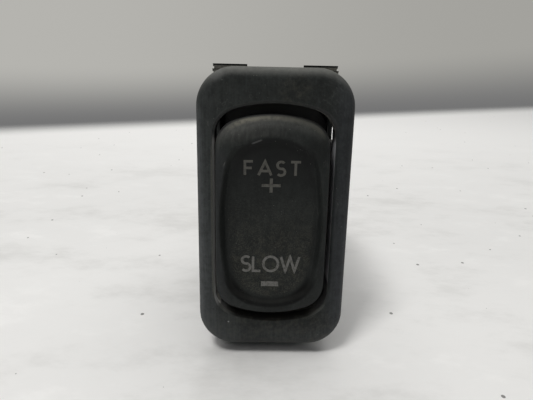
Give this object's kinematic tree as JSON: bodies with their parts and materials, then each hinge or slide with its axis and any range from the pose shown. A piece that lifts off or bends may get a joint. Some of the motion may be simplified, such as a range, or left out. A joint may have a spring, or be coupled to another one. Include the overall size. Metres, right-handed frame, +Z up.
{
  "type": "momentary rocker switch",
  "caption": "Panel rocker switch for stepping a speed up or down: black bezel with snap legs, dished rocker sprung to the middle, bladed socket behind.",
  "frame": {"origin": "centre of the plane in which the bezel seats on the panel", "axes": "+X to the right across the bezel, +Y through the panel toward the terminals, +Z up the bezel toward the increase end of the rocker"},
  "size_m": [0.0262, 0.0341, 0.0512],
  "materials": {
    "housing_plastic": "fine moulded grain",
    "rocker_plastic": "satin, worn",
    "lens_plastic": "translucent white",
    "steel": "drawn",
    "spring_steel": "drawn wire",
    "plunger_plastic": "natural acetal",
    "copper_strip": "stamped",
    "contact_silver": "bright",
    "tinned_brass": "tinned",
    "base_plastic": "moulded",
    "board_laminate": "solder mask",
    "lamp_plastic": "gloss",
    "resistor_ceramic": "gloss"
  },
  "bodies": {
    "housing": {"housing": "housing_plastic", "pivot_pin": "steel", "base": "base_plastic", "increase_input_terminal": "tinned_brass", "increase_output_terminal": "tinned_brass", "decrease_input_terminal": "tinned_brass", "decrease_output_terminal": "tinned_brass", "upper_fixed_contacts": "contact_silver", "lower_fixed_contacts": "contact_silver", "lamp_supply_terminal": "tinned_brass", "lamp_ground_terminal": "tinned_brass", "lamp_board": "board_laminate", "upper_lamp": "lamp_plastic", "lower_lamp": "lamp_plastic", "lamp_resistor": "resistor_ceramic", "upper_return_spring": "spring_steel", "lower_return_spring": "spring_steel"},
    "rocker": {"rocker": "rocker_plastic", "rocker_lens": "lens_plastic"},
    "upper_plunger": {"upper_plunger": "plunger_plastic", "upper_contact_bridge": "copper_strip", "upper_moving_contacts": "contact_silver"},
    "lower_plunger": {"lower_plunger": "plunger_plastic", "lower_contact_bridge": "copper_strip", "lower_moving_contacts": "contact_silver"}
  },
  "joints": [
    {"name": "rocker_tilt", "type": "hinge", "parent": "housing", "child": "rocker", "pos_m": [0, 0.005, 0], "axis": [-1, 0, 0], "range_deg": [-8, 8], "stiffness_Nm_per_rad": 0.3},
    {"name": "upper_plunger_slide", "type": "slide", "parent": "housing", "child": "upper_plunger", "axis": [0, 1, 0], "range_m": [-0.0016, 0.0016], "deforming": ["upper_return_spring"]},
    {"name": "lower_plunger_slide", "type": "slide", "parent": "housing", "child": "lower_plunger", "axis": [0, 1, 0], "range_m": [-0.0016, 0.0016], "deforming": ["lower_return_spring"]}
  ],
  "couplings": [
    {"joint": "upper_plunger_slide", "follows": "rocker_tilt", "m_per_rad": 0.011},
    {"joint": "lower_plunger_slide", "follows": "rocker_tilt", "m_per_rad": -0.011}
  ]
}
